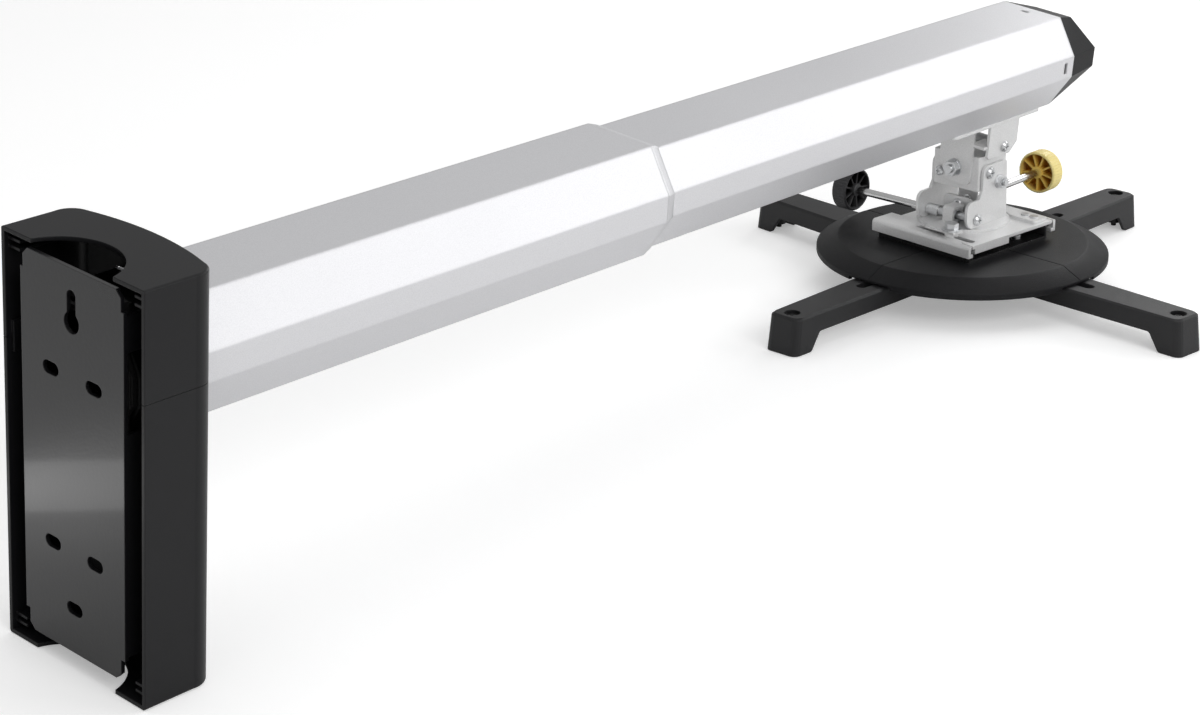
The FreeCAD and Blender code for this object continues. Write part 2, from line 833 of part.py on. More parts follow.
def yoke():
    inner = yokeHalf - sheet
    near = yokeCheek(-yokeHalf, -inner)
    far = yokeCheek(inner, yokeHalf)
    base = box(innerTongueX, yokeX1, -yokeHalf + 0.5, yokeHalf - 0.5, yokeBottom, yokeBottom + sheet)
    tongue = box(innerTongueX, innerTongueX + sheet, -innerTongueHalf, innerTongueHalf,
                 yokeBottom, innerTongueTop)
    tongue = roundEdges(tongue, 4.0, lambda e: abs(e.CenterOfMass.z - innerTongueTop) < 0.01
                        and abs(abs(e.CenterOfMass.y) - innerTongueHalf) < 0.01)
    body = near.fuse([far, base, tongue]).removeSplitter()
    body = body.cut(rodY(-drillHalf, drillHalf, tiltX, tiltZ, m5 + fitGap))
    body = body.cut([lockArc(-drillHalf, -inner + 1), lockArc(inner - 1, drillHalf)])
    body = body.cut(rodY(-drillHalf, drillHalf, swivelRodX, swivelRodZ, rodRadius + fitGap))
    body = body.cut(rodX(innerTongueX - 1, innerTongueX + sheet + 1, 0, tiltRodZ, m4 + fitGap))
    return body.cut(rodZ(yokeBottom - 1, yokeBottom + sheet + 1, headX, 0, m6 + fitGap))


def tiltBolt():
    # through bolt across block and yoke
    y = yokeHalf
    shank = rodY(-y - tiltBoltOut, y, tiltX, tiltZ, m5)
    head = prism([V(tiltX + a, y, tiltZ + b) for a, b in hexPoints(m5Across)], V(0, m5HeadHigh, 0))
    return shank.fuse(head).removeSplitter()


def tiltBoltNut():
    y = -yokeHalf
    low = y - m5Washer - m5NutHigh
    nut = prism([V(tiltX + a, low, tiltZ + b) for a, b in hexPoints(m5Across)], V(0, m5NutHigh, 0))
    washer = rodY(y - m5Washer, y, tiltX, tiltZ, m5WasherRadius)
    return nut.fuse(washer).removeSplitter().cut(rodY(y - 8, y + 1, tiltX, tiltZ, m5 + fitGap))


def tiltLockScrews():
    y = yokeHalf
    return [panScrew(sheet * 2 + 2, panHead, m4, V(lockX, s * y, lockZ), V(0, -s, 0)) for s in (-1, 1)]


def swivelDisc():
    body = rodZ(plateZ, swivelDiscTop, headX, 0, swivelDiscRadius)
    return body.cut(rodZ(plateZ - 1, swivelDiscTop + 1, headX, 0, m6 + fitGap))


# Thumbwheels on their threaded rods

def wheel():
    # along +Z: open spoked face at z = 0, closed web at the far end
    body = Part.makeCylinder(wheelRadius, wheelWidth)
    body = body.makeChamfer(0.8, [e for e in body.Edges if e.Closed])
    pocket = Part.makeCylinder(wheelRadius - wheelRim, wheelWidth - wheelWeb, V(0, 0, -1))
    body = body.cut(pocket.cut(Part.makeCylinder(wheelHub, wheelWidth, V(0, 0, -1))))
    for k in range(spokeCount):
        spoke = box(wheelHub - 1, wheelRadius - wheelRim + 0.5, -spokeWide / 2, spokeWide / 2,
                    spokeSet, wheelWidth - wheelWeb / 2)
        spoke.rotate(V(0, 0, 0), V(0, 0, 1), 360.0 * k / spokeCount)
        body = body.fuse(spoke)
    grooves = []
    for k in range(flutes):
        groove = Part.makeCylinder(0.55, wheelWidth + 2, V(wheelRadius + 0.55 - fluteDepth, 0, -1))
        groove.rotate(V(0, 0, 0), V(0, 0, 1), 360.0 * k / flutes)
        grooves.append(groove)
    body = body.cut(grooves)
    return body.cut(Part.makeCylinder(rodRadius, wheelWidth + 2, V(0, 0, -1)))


def tiltWheel():
    body = wheel()
    body.rotate(V(0, 0, 0), V(0, 1, 0), 90)
    body.translate(V(tiltWheelX, 0, tiltRodZ))
    return body


def swivelWheel():
    body = wheel()
    body.rotate(V(0, 0, 0), V(1, 0, 0), -90)
    body.translate(V(swivelRodX, swivelWheelY, swivelRodZ))
    return body


def tiltRod():
    rod = rodX(innerTongueX + sheet + seatGap, tiltWheelX + wheelWidth - rodShort, 0, tiltRodZ, rodRadius)
    return rod.cut(rodX(innerTongueX, innerTongueX + sheet + rodBore - 0.2, 0, tiltRodZ, m4 + fitGap))


def tiltRodScrew():
    return panScrew(sheet + 9, rodScrewHead, m4, V(innerTongueX - 0.1, 0, tiltRodZ), V(1, 0, 0))


def swivelRod():
    rod = rodY(-yokeHalf + rodEndGap, swivelWheelY + wheelWidth - rodShort, swivelRodX, swivelRodZ, rodRadius)
    sleeve = rodY(sleeveStart, yokeHalf - sheet - rodEndGap, swivelRodX, swivelRodZ, sleeveRadius)
    body = rod.fuse(sleeve).removeSplitter()
    return body.cut(rodY(-yokeHalf - 1, -yokeHalf + rodBore, swivelRodX, swivelRodZ, m4 + fitGap))


def swivelRodScrew():
    return panScrew(rodScrewLength, panHead, m4, V(swivelRodX, -yokeHalf - 0.2, swivelRodZ), V(0, 1, 0))


# Slide plate, rail plate and disc: modelled square about the swivel axis at headX

def slidePlate():
    t = slideSheet
    h = slideHalfX
    top = box(headX - h, headX + h, slideNear, slideFar, plateZ - t, plateZ)
    pieces = [box(headX - h, headX - h + channelWide, slideNear, channelFar, plateZ - t, plateZ)]
    for s, far in ((-1, channelFar), (1, slideFar)):
        a, b = sorted((headX + s * h, headX + s * (h - t)))
        pieces.append(box(a, b, slideNear, far, plateZ - channelHigh, plateZ))
        a, b = sorted((headX + s * h, headX + s * (h - t - lipWide)))
        pieces.append(box(a, b, slideNear, far, plateZ - channelHigh, plateZ - channelHigh + t))
    body = top.fuse(pieces).removeSplitter()
    for s, bend in ((-1, channelBend), (1, edgeBend)):
        body = roundEdges(body, bend, lambda e: abs(e.CenterOfMass.z - plateZ) < 0.01
                          and abs(e.CenterOfMass.x - headX - s * h) < 0.01)
    # relief slits beside the near corners, where the channels are folded
    for s in (-1, 1):
        a, b = sorted((headX + s * (h - t - 1.6), headX + s * (h - t - 0.4)))
        body = body.cut(box(a, b, slideNear - 1, slideNear + 10, plateZ - t - 1, plateZ + 1))
    # partly turned-down near flange
    flange = box(headX - h + 7, headX - 4, slideNear, slideNear + t, plateZ - 6.5, plateZ - t)
    body = body.fuse(flange).removeSplitter()
    body = body.cut(slotZ(headX + lockSlotX, lockSlotY0, lockSlotY1, m5 + 0.3, plateZ - t - 1, plateZ + 1))
    return body.cut(rodZ(plateZ - t - 1, plateZ + 1, headX, 0, m6 + fitGap))


def latchStrip():
    # spring latch strip that lies on the plate near its +X edge, with its edge turned down
    z1 = plateZ + latchSheet
    body = box(headX + latchX0, headX + latchX1, latchNear, latchFar, plateZ, z1)
    body = roundEdges(body, 2.5, vertical)
    body = body.cut(rodZ(plateZ - 1, z1 + 1, headX, 0, swivelDiscRadius + latchGap))
    return body.cut(rodZ(plateZ - 1, z1 + 1, headX + latchX1 - 4.5, latchFar - 6, 2.2))


def latchRivets():
    x = headX + (latchX0 + latchX1) / 2
    top = plateZ + latchSheet
    return [rodZ(top, top + 1.0, x, y, 3.0) for y in (latchNear + 7, latchNear + 15)]


def swivelRivet():
    # hollow rivet that joins yoke, disc and plate
    low = plateZ - slideSheet
    stem = rodZ(low, yokeBottom + sheet, headX, 0, m6)
    return stem.fuse(rodZ(low - 2.4, low, headX, 0, 7.0)).removeSplitter()


def swivelClip():
    # bent strap over the travelling nut, with a foot out to the clamp bolt
    x0 = swivelRodX - headX - swivelNutHalf
    x1 = swivelRodX - headX + swivelNutHalf - 0.5
    y0, y1 = clipY0, clipY0 + clipStrip
    topZ = swivelRodZ + swivelNutHalf
    footZ = swivelDiscTop + seatGap
    wall = box(headX + x0 - clipSheet, headX + x0, y0, y1, footZ, topZ + clipSheet)
    cap = box(headX + x0 - clipSheet, headX + x1, y0, y1, topZ, topZ + clipSheet)
    hook = wall.fuse(cap).removeSplitter()
    hook = roundEdges(hook, clipBend, lambda e: abs(e.CenterOfMass.z - topZ - clipSheet) < 0.01
                      and abs(e.CenterOfMass.x - headX - x0 + clipSheet) < 0.01)
    pad = box(headX + lockSlotX - 5, headX + lockSlotX + 5, clipBoltY - 6, y1, footZ, footZ + clipSheet)
    strap = box(headX + lockSlotX, headX + x0, y0, y1, footZ, footZ + clipSheet)
    body = hook.fuse([pad, strap]).removeSplitter()
    body = body.fuse(rodZ(plateZ, footZ, headX + lockSlotX, clipBoltY, 5.0)).removeSplitter()
    return body.cut(rodZ(plateZ - 1, footZ + 3, headX + lockSlotX, clipBoltY, m5 + fitGap))


def swivelNut():
    # square nut in the clip: the open end of the screw linkage, bored clear of the rod
    x, z = swivelRodX, swivelRodZ
    y0 = clipY0 + (clipStrip - swivelNutLength) / 2
    body = box(x - swivelNutHalf, x + swivelNutHalf - 0.5, y0, y0 + swivelNutLength,
               z - swivelNutBelow, z + swivelNutHalf)
    return body.cut(rodY(y0 - 1, y0 + swivelNutLength + 1, x, z, rodRadius + swivelNutGap))


def clipBolt():
    x, y = headX + lockSlotX, clipBoltY
    seat = swivelDiscTop + seatGap + clipSheet
    low = plateZ - slideSheet
    shank = rodZ(low - 5, seat, x, y, m5)
    flange = rodZ(seat, seat + 1.4, x, y, 7.0)
    head = prismZ([(x + a, y + b) for a, b in hexPoints(8.5)], seat + 1.4, seat + 5.4)
    return shank.fuse([flange, head]).removeSplitter()


def clipNut():
    x, y = headX + lockSlotX, clipBoltY
    low = plateZ - slideSheet
    nut = prismZ([(x + a, y + b) for a, b in hexPoints(7.0)], low - 3.5, low)
    return nut.cut(rodZ(low - 5, low + 1, x, y, m5 + fitGap))


def railPlate():
    # pressed tray screwed to the disc, with raised edges that run in the channels
    t = railSheet
    flangeTop = plateZ - slideSheet - railGap
    flangeLow = flangeTop - railFlange
    edge = slideHalfX - slideSheet - railGap
    riser = edge - lipWide - 0.3
    near = slideNear + slideSheet + 1.0
    foot = box(headX - riser, headX + riser, near, channelFar - 2, discTop, discTop + t)
    pieces = []
    for s in (-1, 1):
        a, b = sorted((headX + s * riser, headX + s * (riser - t)))
        pieces.append(box(a, b, near, channelFar - 2, discTop, flangeTop))
        a, b = sorted((headX + s * (riser - t), headX + s * edge))
        pieces.append(box(a, b, near, channelFar - 2, flangeLow, flangeTop))
    body = foot.fuse(pieces).removeSplitter()
    for x, y in railScrewPlaces:
        body = body.cut(rodZ(discTop - 1, discTop + t + 1, x, y, m4 + fitGap))
    return body


railScrewPlaces = [(headX + a, b) for a in (-railScrewX, railScrewX) for b in (-railScrewY, railScrewY)]


def railScrews():
    return [panScrew(railSheet + discWall + 4, railHead, m4, V(x, y, discTop + railSheet), V(0, 0, -1))
            for x, y in railScrewPlaces]


def disc():
    w = discWall
    outline = [(0, discTop), (discFlatRadius, discTop), (discRadius, discBevelZ), (discRadius, discBottom),
               (discRadius - w, discBottom), (discRadius - w, discBevelZ - w * 0.5),
               (discFlatRadius - 1, discTop - w), (0, discTop - w)]
    face = Part.Face(Part.makePolygon([V(r, 0, z) for r, z in outline + outline[:1]]))
    body = face.revolve(V(0, 0, 0), V(0, 0, 1), 360)
    bosses = []
    ribs = []
    for a in legDirection:
        c, s = math.cos(math.radians(a)), math.sin(math.radians(a))
        bosses.append(rodZ(legTop + seatGap, discTop - w * 0.5, clampRadius * c, clampRadius * s, bossRadius))
        for off in (-discRibY, discRibY):
            rib = box(discRibStart, clampRadius - bossRadius + w, off - w / 3, off + w / 3,
                      discBottom + w, discTop - w * 0.5)
            ribs.append(turned(rib, V(0, 0, 0), V(0, 0, 1), a))
    body = body.fuse(bosses + ribs).removeSplitter()
    for a in legDirection:
        c, s = math.cos(math.radians(a)), math.sin(math.radians(a))
        x, y = clampRadius * c, clampRadius * s
        body = body.cut(rodZ(discBottom - 1, discTop - boreRoof, x, y, m5 + fitGap))
        # the rim is notched where a leg passes under it
        notch = box(clampRadius - bossRadius, discRadius + 1, -legNotchHalf, legNotchHalf, discBottom - 1,
                    legTop + seatGap)
        body = body.cut(turned(notch, V(0, 0, 0), V(0, 0, 1), a))
    # four scribed alignment lines across the top and down the bevel
    slope = (discTop - discBevelZ) / (discRadius - discFlatRadius)
    groove = [(discRibStart, discTop - scribeDeep), (discFlatRadius, discTop - scribeDeep),
              (discRadius + 1, discBevelZ - slope - scribeDeep), (discRadius + 1, discTop + 1),
              (discRibStart, discTop + 1)]
    for a in (0, 90, 180, 270):
        body = body.cut(turned(prismY(groove, -scribeWide / 2, scribeWide / 2), V(0, 0, 0), V(0, 0, 1), a))
    body.rotate(V(0, 0, 0), V(0, 0, 1), discSet)
    body.translate(V(headX, 0, 0))
    for x, y in railScrewPlaces:
        body = body.cut(rodZ(discTop - w - 1, discTop + 1, x, y, m4 + fitGap))
    return body


# Legs: modelled along +X from the disc's centre, then turned into place

def legPlan(inset, start, tip, widen, z):
    # plan outline, tapered towards a rounded tip
    def half(u):
        k = (u - clampRadius) / (legTip - clampRadius)
        return legHalfInner + (legHalfTip + widen - legHalfInner) * max(0.0, k) - inset
    r = legCorner
    c = legInnerCorner
    a, b = half(start), half(tip)
    side = [(start, a - c), (start + c, a), (clampRadius, half(clampRadius)), (tip - r, half(tip - r)),
            (tip - r * 0.62, b - r * 0.08), (tip - r * 0.3, b - r * 0.3), (tip - r * 0.08, b - r * 0.62),
            (tip, b - r)]
    ring = [(u, -v) for u, v in side] + [(u, v) for u, v in reversed(side)]
    return Part.makePolygon([V(u, v, z) for u, v in ring + ring[:1]])


def legBlock(inset, start, low, high):
    # tapered block between two levels: the foot flares towards the floor
    def ring(z):
        k = (legTop - z) / (legTop - legBottom)
        return legPlan(inset, start, legTip - inset + footFlare * k, footWiden * k, z)
    return Part.makeLoft([ring(low), ring(high)], True, True)


def legCrown():
    # bevelled top layer of the block
    k = legBevel / (legTop - legBottom)
    low = legPlan(0, legInner, legTip + footFlare * k, footWiden * k, legTop - legBevel)
    high = legPlan(legBevel, legInner + legBevel, legTip - legBevel, 0, legTop)
    return Part.makeLoft([low, high], True, True)


def legSide():
    # side outline in the U-Z plane: level beam with a turned-down foot
    beam = legTop - legDeep
    inner = legTip - footLength
    far = legTip + 2 * footFlare
    side = prismY([(legInner, legTop), (far, legTop), (far, legBottom), (inner, legBottom),
                   (inner - footRamp, beam), (legInner, beam)], -2 * legHalfInner, 2 * legHalfInner)
    for u, z in ((inner, legBottom), (inner - footRamp, beam)):
        side = roundEdges(side, footRound, lambda e: abs(e.CenterOfMass.x - u) < 0.01
                          and abs(e.CenterOfMass.z - z) < 0.01 and abs(e.CenterOfMass.y) < 0.01)
    return side


def leg():
    bevelled = legBlock(0, legInner, legBottom, legTop - legBevel)
    bevelled = bevelled.fuse(legCrown()).removeSplitter()
    body = bevelled.common(legSide())
    # hollow underneath, with the tip's screw post and a rib round the slot left standing
    hollow = legBlock(legWall, legInner + legWall, legBottom - 1, legTop - legWall)
    height = legTop - legWall - legBottom - tipPostShort
    post = Part.makeCone(tipPost, tipPostTop, height + 1, V(legHole, 0, legBottom + tipPostShort))
    rib = slotWeb(legSlotRadius + slotRib, legTop - slotRibDeep, legTop)
    body = body.cut(hollow).fuse([post, rib.cut(slotWeb(legSlotRadius, legTop - 2 * legDeep, legTop + 1))])
    body = body.removeSplitter()
    body = body.cut(slotWeb(legSlotRadius, legTop - 2 * legDeep, legTop + 1))
    body = body.cut(rodZ(legBottom - 1, legTop + 1, legHole, 0, m4 + fitGap))
    return body.cut(rodZ(legTop - tipRecessDeep, legTop + 1, legHole, 0, tipRecess))


def slotWeb(r, z0, z1):
    run = box(legSlotStart, legSlotEnd, -r, r, z0, z1)
    return run.fuse([rodZ(z0, z1, legSlotStart, 0, r), rodZ(z0, z1, legSlotEnd, 0, r)]).removeSplitter()


def legPlaced(shape, k, slide):
    # slid along and swung about its clamp screw, then turned to its direction on the disc
    body = shape.copy()
    body.translate(V(slide, 0, 0))
    body = turned(body, V(clampRadius, 0, 0), V(0, 0, 1), legSwing[k])
    body = turned(body, V(0, 0, 0), V(0, 0, 1), legDirection[k] + discSet)
    body.translate(V(headX, 0, 0))
    return swivelled(body)


def clampScrew():
    # clamp screw with a shoulder in the leg's slot, up into the disc's boss
    low = legTop - slotRibDeep - seatGap
    body = panScrew(legTop - low + clampReach, clampHead, m5, V(clampRadius, 0, low), V(0, 0, 1))
    return body.fuse(rodZ(low, legTop + seatGap, clampRadius, 0, clampShoulder)).removeSplitter()


def tipScrew():
    # projector screw down through the tip's post, its head in the recess
    seat = legTop - tipRecessDeep
    return panScrew(seat - legBottom - tipScrewShort, tipHead, m4, V(legHole, 0, seat), V(0, 0, -1))


os.makedirs("parts", exist_ok=True)

save("wall_plate", wallPlate())
save("arm_socket", armSocket())
save("socket_nuts", socketNuts())
save("arm_bolts", armBolts())
save("cover_upper", coverUpper())
save("cover_lower", coverLower())
save("outer_tube", outerTube())
save("end_collar", endCollar())
save("mouth_glides", mouthGlides())
save("arm_lock_screw", lockScrew())
save("inner_tube", innerTube())
save("rear_guide", rearGuide())
save("end_cap", endCap())
save("hanger_bracket", hangerBracket())
save("nut_plate", nutPlate())
save("hanger_bolts", hangerBolts())
save("hanger_spacer", hangerSpacer())
save("spacer_screws", spacerScrews())
save("roll_nut", rolled(rollNut()))
save("roll_bolt", rolled(rollBolt()))
save("tilt_block", rolled(tiltBlock()))
save("tilt_nut", rolled(tiltNut()))
save("roll_lock_screw", rolled(rollLockScrew()))
save("yoke", rolled(yoke()))
save("tilt_bolt", rolled(tiltBolt()))
save("tilt_bolt_nut", rolled(tiltBoltNut()))
save("tilt_lock_screws", [rolled(s) for s in tiltLockScrews()])
save("swivel_disc", rolled(swivelDisc()))
save("tilt_rod", rolled(tiltRod()))
save("tilt_wheel", rolled(tiltWheel()))
save("tilt_rod_screw", rolled(tiltRodScrew()))
save("swivel_rod", rolled(swivelRod()))
save("swivel_wheel", rolled(swivelWheel()))
save("swivel_rod_screw", rolled(swivelRodScrew()))
save("slide_plate", swivelled(slidePlate()))
save("latch_strip", swivelled(latchStrip()))
save("latch_rivets", [swivelled(s) for s in latchRivets()])
save("swivel_rivet", swivelled(swivelRivet()))
save("swivel_clip", swivelled(swivelClip()))
save("swivel_nut", swivelled(swivelNut()))
save("clip_bolt", swivelled(clipBolt()))
save("clip_nut", swivelled(clipNut()))
save("rail_plate", swivelled(railPlate()))
save("rail_screws", [swivelled(s) for s in railScrews()])
save("disc", swivelled(disc()))
for k in range(4):
    save("leg_%d" % (k + 1), legPlaced(leg(), k, legSlide[k]))
    save("leg_clamp_%d" % (k + 1), legPlaced(clampScrew(), k, 0.0))
    save("leg_tip_screw_%d" % (k + 1), legPlaced(tipScrew(), k, legSlide[k]))
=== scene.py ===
import bpy
import math
import numpy as np
from mathutils import Matrix, Vector


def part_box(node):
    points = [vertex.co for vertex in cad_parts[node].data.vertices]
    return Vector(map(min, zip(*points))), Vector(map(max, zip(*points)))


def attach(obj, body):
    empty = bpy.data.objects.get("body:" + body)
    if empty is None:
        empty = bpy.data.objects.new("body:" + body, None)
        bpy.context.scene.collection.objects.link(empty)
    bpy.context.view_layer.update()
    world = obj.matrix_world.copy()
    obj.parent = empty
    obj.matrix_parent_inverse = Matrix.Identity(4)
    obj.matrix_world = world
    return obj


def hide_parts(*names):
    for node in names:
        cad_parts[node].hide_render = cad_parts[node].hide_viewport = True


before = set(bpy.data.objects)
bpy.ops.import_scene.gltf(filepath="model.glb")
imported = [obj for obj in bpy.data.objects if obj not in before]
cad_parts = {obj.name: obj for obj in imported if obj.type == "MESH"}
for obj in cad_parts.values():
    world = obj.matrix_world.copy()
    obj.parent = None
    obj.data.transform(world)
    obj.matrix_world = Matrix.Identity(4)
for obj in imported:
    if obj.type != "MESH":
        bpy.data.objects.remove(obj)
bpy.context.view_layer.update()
print("frame loaded:", len(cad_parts), "nodes")


# Shader maths: a wire is one socket, and maths on wires adds nodes

class Wire:
    def __init__(self, tree, socket=None):
        self.tree = tree
        self.socket = socket

    def make(self, kind, settings=None, inputs=None, out=0):
        # any node: its type, its settings, then the values or links of its sockets
        node = self.tree.nodes.new(kind)
        for key, value in (settings or {}).items():
            setattr(node, key, value)
        for key, value in (inputs or {}).items():
            if isinstance(value, Wire):
                self.tree.links.new(value.socket, node.inputs[key])
            else:
                node.inputs[key].default_value = value
        return Wire(self.tree, node.outputs[out] if len(node.outputs) else None)

    def sum(self, operation, a, b):
        return self.make("ShaderNodeMath", {"operation": operation}, {0: a, 1: b})

    def __add__(self, other):
        return self.sum("ADD", self, other)

    __radd__ = __add__

    def __mul__(self, other):
        return self.sum("MULTIPLY", self, other)

    __rmul__ = __mul__

    def __sub__(self, other):
        return self.sum("SUBTRACT", self, other)

    def __rsub__(self, other):
        return self.sum("SUBTRACT", other, self)

    def __truediv__(self, other):
        return self.sum("DIVIDE", self, other)

    def __pow__(self, other):
        return self.sum("POWER", self, other)

    def __gt__(self, other):
        return self.sum("GREATER_THAN", self, other)

    def clamped(self):
        return self.make("ShaderNodeClamp", {}, {"Value": self, "Min": 0.0, "Max": 1.0})

    def blendOf(self, colourA, colourB):
        # colour mix with this wire as the factor
        return self.make("ShaderNodeMix", {"data_type": "RGBA"}, {0: self, 6: colourA, 7: colourB}, out=2)

    def axes(self):
        # the three coordinates of a place
        parts = self.make("ShaderNodeSeparateXYZ", {}, {0: self})
        return [Wire(self.tree, output) for output in parts.socket.node.outputs]


def colour(red, green=None, blue=None):
    green = red if green is None else green
    blue = green if blue is None else blue
    return (red, green, blue, 1.0)


def emptyTree(owner):
    # node tree of a material or of the world, cleared
    owner.use_nodes = True
    owner.node_tree.nodes.clear()
    return Wire(owner.node_tree)


def blankMaterial(name):
    material = bpy.data.materials.new(name)
    wire = emptyTree(material)
    place = wire.make("ShaderNodeTexCoord", out=3)
    return material, wire, place


def finishMaterial(material, wire, constants, base, rough, normal):
    # constants sit on the shader's own sockets, the rest are what varies
    links = {"Base Color": base, "Roughness": rough, "Normal": normal}
    shader = wire.make("ShaderNodeBsdfPrincipled", {}, {**constants, **links})
    wire.make("ShaderNodeOutputMaterial", {}, {"Surface": shader})
    return material


def noise(wire, place, scale, detail=2.0, rough=0.5):
    inputs = {"Vector": place, "Scale": scale, "Detail": detail, "Roughness": rough}
    return wire.make("ShaderNodeTexNoise", {}, inputs)


def speckle(wire, place, scale):
    return wire.make("ShaderNodeTexVoronoi", {}, {"Vector": place, "Scale": scale})


def bump(wire, height, look):
    # relief over an edge that is softened by the width in look["edge"]
    edge = wire.make("ShaderNodeBevel", {"samples": 4}, {"Radius": look["edge"]})
    inputs = {"Height": height, "Strength": look["bump"], "Distance": look["depth"], "Normal": edge}
    return wire.make("ShaderNodeBump", {}, inputs)


# Moulded plastic: satin black with a fine spark-eroded grain and faint handling marks

def mouldedPlastic(name, look):
    material, wire, place = blankMaterial(name)
    grain = noise(wire, place, look["grain"], detail=3.0, rough=0.6)
    patches = noise(wire, place, look["patches"])
    tone = (patches * 0.5 + grain * 0.5).clamped()
    base = tone.blendOf(colour(*look["dark"]), colour(*look["light"]))
    rough = look["rough"] + (patches - 0.5) * look["roughSpread"]
    constants = {"Specular IOR Level": look["specular"], "IOR": 1.5}
    return finishMaterial(material, wire, constants, base, rough, bump(wire, grain, look))


coverBlack = mouldedPlastic("coverBlack", {
    "grain": 1500.0, "patches": 14.0, "dark": (0.006, 0.006, 0.007), "light": (0.012, 0.012, 0.013),
    "rough": 0.34, "roughSpread": 0.08, "bump": 0.18, "depth": 0.0002, "edge": 0.0009, "specular": 0.26})

capBlack = mouldedPlastic("capBlack", {
    "grain": 1300.0, "patches": 30.0, "dark": (0.009, 0.009, 0.010), "light": (0.017, 0.017, 0.018),
    "rough": 0.42, "roughSpread": 0.12, "bump": 0.25, "depth": 0.0002, "edge": 0.0008, "specular": 0.18})

discBlack = mouldedPlastic("discBlack", {
    "grain": 1000.0, "patches": 22.0, "dark": (0.006, 0.006, 0.007), "light": (0.015, 0.015, 0.016),
    "rough": 0.46, "roughSpread": 0.12, "bump": 0.6, "depth": 0.0004, "edge": 0.0008, "specular": 0.17})

legBlack = mouldedPlastic("legBlack", {
    "grain": 1000.0, "patches": 30.0, "dark": (0.006, 0.006, 0.007), "light": (0.015, 0.015, 0.016),
    "rough": 0.42, "roughSpread": 0.12, "bump": 0.4, "depth": 0.0003, "edge": 0.0009, "specular": 0.42})

guideWhite = mouldedPlastic("guideWhite", {
    "grain": 700.0, "patches": 40.0, "dark": (0.70, 0.70, 0.68), "light": (0.82, 0.82, 0.80),
    "rough": 0.45, "roughSpread": 0.1, "bump": 0.2, "depth": 0.0001, "edge": 0.0004, "specular": 0.5})


# Thumbwheels: coloured rim and spoke edges, with painted shade that darkens the colour deeper inside the
# pockets

def wheelPlastic(name, look):
    material, wire, place = blankMaterial(name)
    low, high = (Vector(corner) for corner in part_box(look["node"]))
    middle = (low + high) / 2
    axes = place.axes()
    along = look["axis"]
    # distance from the axle, and depth behind the open face
    first, second = ((axes[k] - middle[k]) ** 2.0 for k in range(3) if k != along)
    radius = (first + second) ** 0.5
    depth = axes[along] - low[along] - look["lean"] * (axes[2] - middle[2])
    inside = ((look["bore"] - radius) / look["soft"]).clamped()
    shadeDepth = ((depth - look["edgeDepth"]) / look["fade"]).clamped()
    grain = noise(wire, place, look["grain"], detail=3.0, rough=0.6)
    rim = grain.blendOf(colour(*look["rim"][0]), colour(*look["rim"][1]))
    # inside the bore the colour runs from the spoke edges into the pockets: painted shade that deepens with
    # depth, and on the black wheel the lighter spoke edges are a painted highlight
    pocket = shadeDepth.blendOf(colour(*look["spoke"]), colour(*look["pocket"]))
    base = inside.blendOf(rim, pocket)
    rough = look["rough"] + (grain - 0.5) * look["roughSpread"]
    constants = {"Specular IOR Level": look["specular"]}
    return finishMaterial(material, wire, constants, base, rough, bump(wire, grain, look))


wheelLook = {"bore": 0.0141, "soft": 0.0003, "roughSpread": 0.12, "bump": 0.2, "depth": 0.0001,
             "edge": 0.0003}

knobIvory = wheelPlastic("knobIvory", {
    **wheelLook, "node": "tilt_wheel", "axis": 0, "lean": 0.0, "edgeDepth": 0.0015, "fade": 0.005,
    "grain": 700.0, "rim": [(0.86, 0.70, 0.24), (0.95, 0.82, 0.36)],
    "spoke": (0.85, 0.58, 0.12), "pocket": (0.62, 0.29, 0.015), "rough": 0.38, "specular": 0.5})

knobBlack = wheelPlastic("knobBlack", {
    **wheelLook, "node": "swivel_wheel", "axis": 1, "lean": -0.0831, "edgeDepth": 0.0022, "fade": 0.003,
    "grain": 900.0, "rim": [(0.030, 0.030, 0.032), (0.060, 0.060, 0.063)],
    "spoke": (0.085, 0.085, 0.088), "pocket": (0.004, 0.004, 0.004), "rough": 0.45, "specular": 0.35})


# Painted sheet steel: gloss black with an orange-peel skin

def glossPaint(name, look):
    material, wire, place = blankMaterial(name)
    peel = noise(wire, place, look["peel"], detail=1.0, rough=0.4)
    haze = noise(wire, place, look["haze"], detail=3.0)
    base = haze.blendOf(colour(*look["dark"]), colour(*look["light"]))
    rough = look["rough"] + (haze - 0.5) * look["roughSpread"]
    constants = {"Coat Weight": look["coat"], "Coat Roughness": 0.08, "Specular IOR Level": 0.5}
    return finishMaterial(material, wire, constants, base, rough, bump(wire, peel, look))


plateGloss = glossPaint("plateGloss", {
    "peel": 420.0, "haze": 12.0, "dark": (0.006, 0.006, 0.007), "light": (0.011, 0.011, 0.012),
    "rough": 0.30, "roughSpread": 0.12, "coat": 0.3, "bump": 0.10, "depth": 0.0004, "edge": 0.0008})

socketDark = glossPaint("socketDark", {
    "peel": 420.0, "haze": 20.0, "dark": (0.004, 0.004, 0.004), "light": (0.008, 0.008, 0.008),
    "rough": 0.5, "roughSpread": 0.12, "coat": 0.1, "bump": 0.15, "depth": 0.0004, "edge": 0.0006})

screwBlackAndRailShade = glossPaint("screwBlackAndRailShade", {
    "peel": 900.0, "haze": 60.0, "dark": (0.008, 0.008, 0.008), "light": (0.016, 0.016, 0.017),
    "rough": 0.28, "roughSpread": 0.12, "coat": 0.4, "bump": 0.15, "depth": 0.0002, "edge": 0.0003})


# Silver coatings: small bright flakes in a grey film, on tube and folded sheet

